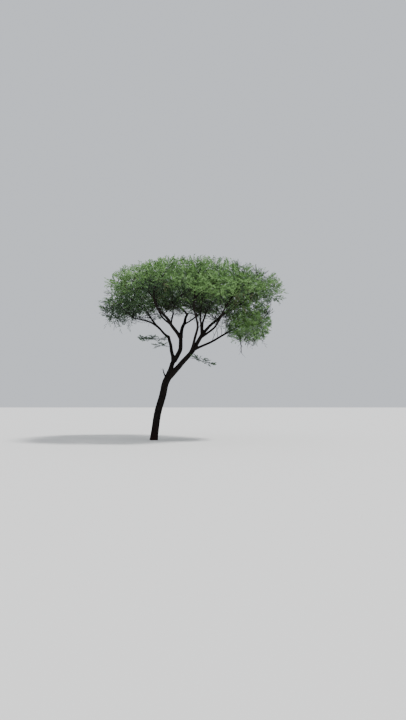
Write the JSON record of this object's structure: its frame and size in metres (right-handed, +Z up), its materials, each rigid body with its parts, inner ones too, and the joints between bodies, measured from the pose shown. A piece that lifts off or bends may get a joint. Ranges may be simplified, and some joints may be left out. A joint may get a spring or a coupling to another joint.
{
  "type": "acacia tree",
  "caption": "Umbrella acacia tree with a leaning trunk that forks low, boughs that fan out, and a wide flat-topped crown of leafy masses, from a flat cut at ground level.",
  "frame": {"origin": "centre of the flat cut at the trunk's foot, at ground level", "axes": "+Z up, +X the way the tree leans and its crown spreads furthest, +Y to the tree's back"},
  "size_m": [7.9344, 7.4488, 7.6649],
  "materials": {
    "bark": "very dark grey-brown furrowed bark, matte, redder toward the foot",
    "foliage": "small feathery leaves, yellow-green in the sun and olive beneath, matte"
  },
  "bodies": {
    "root": {"trunk": "bark", "right_leader": "bark", "left_leader": "bark", "middle_leader": "bark", "left_rise": "bark", "left_back_bough": "bark", "left_bough": "bark", "front_left_bough": "bark", "inner_left_bough": "bark", "centre_left_bough": "bark", "back_leader": "bark", "back_left_bough": "bark", "back_bough": "bark", "front_bough": "bark", "right_low_bough": "bark", "front_right_bough": "bark", "right_back_bough": "bark", "right_bough": "bark", "centre_right_bough": "bark", "centre_front_bough": "bark", "drooping_twig": "bark", "broken_stub": "bark", "crown_right": "foliage", "crown_right_back": "foliage", "crown_back": "foliage", "crown_back_left": "foliage", "crown_left_back": "foliage", "crown_left": "foliage", "crown_front_left": "foliage", "crown_front": "foliage", "crown_front_right": "foliage", "crown_inner_right": "foliage", "crown_inner_back": "foliage", "crown_inner_left": "foliage", "crown_inner_front": "foliage", "crown_right_skirt": "foliage", "low_spray_left": "foliage", "low_spray_fork": "foliage", "low_spray_right": "foliage"}
  },
  "joints": []
}
